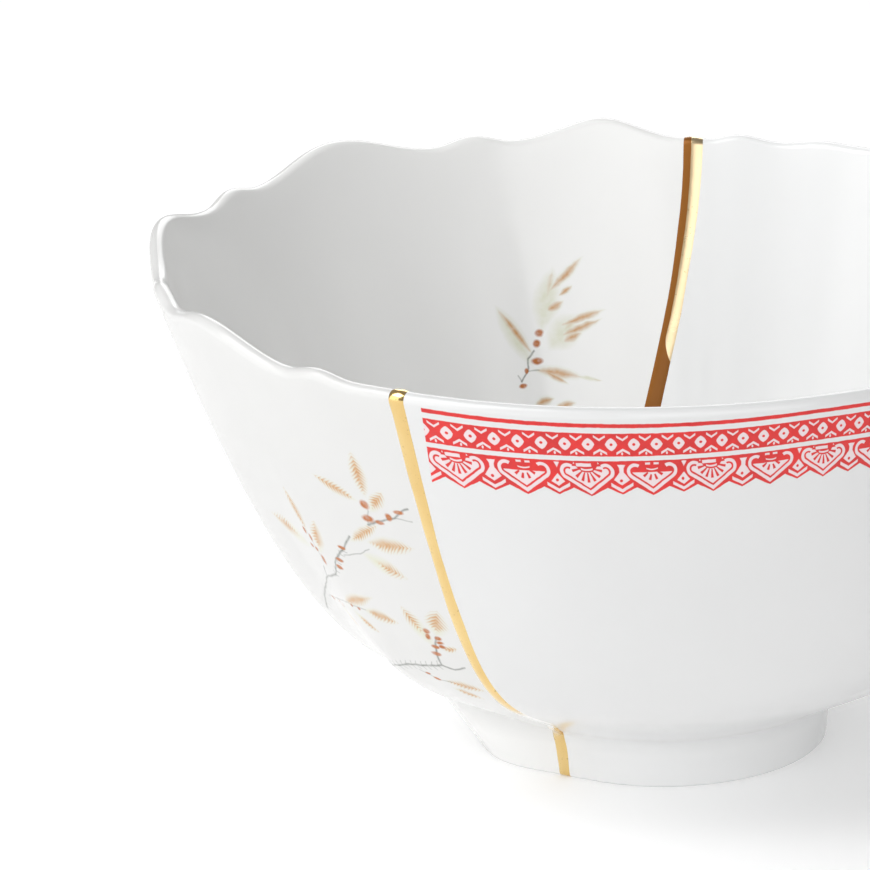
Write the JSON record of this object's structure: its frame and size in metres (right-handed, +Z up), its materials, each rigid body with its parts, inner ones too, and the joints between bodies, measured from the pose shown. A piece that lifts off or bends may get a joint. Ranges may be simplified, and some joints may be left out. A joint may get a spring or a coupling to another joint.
{
  "type": "kintsugi bowl",
  "caption": "Deep porcelain bowl of two unlike halves, one with a scalloped rim and one plain with a red border, joined by a gold lacquer seam.",
  "frame": {"origin": "centre of the whole bowl's box at the table, under its standing foot", "axes": "+Z up through the open mouth, -Y towards the front, where the seam runs down the left of the plain half, and +X to the right, towards the plain half"},
  "size_m": [0.1972, 0.1924, 0.1065],
  "materials": {
    "lobed_porcelain": "clear gloss glaze over white porcelain, with painted sprigs in brown, green and grey",
    "plain_porcelain": "clear gloss glaze over cool white porcelain, with a red lace border under the rim",
    "gold_lacquer": "burnished gold over lacquer"
  },
  "bodies": {
    "root": {"lobed_half": "lobed_porcelain", "plain_half": "plain_porcelain", "gold_seam": "gold_lacquer"}
  },
  "joints": []
}
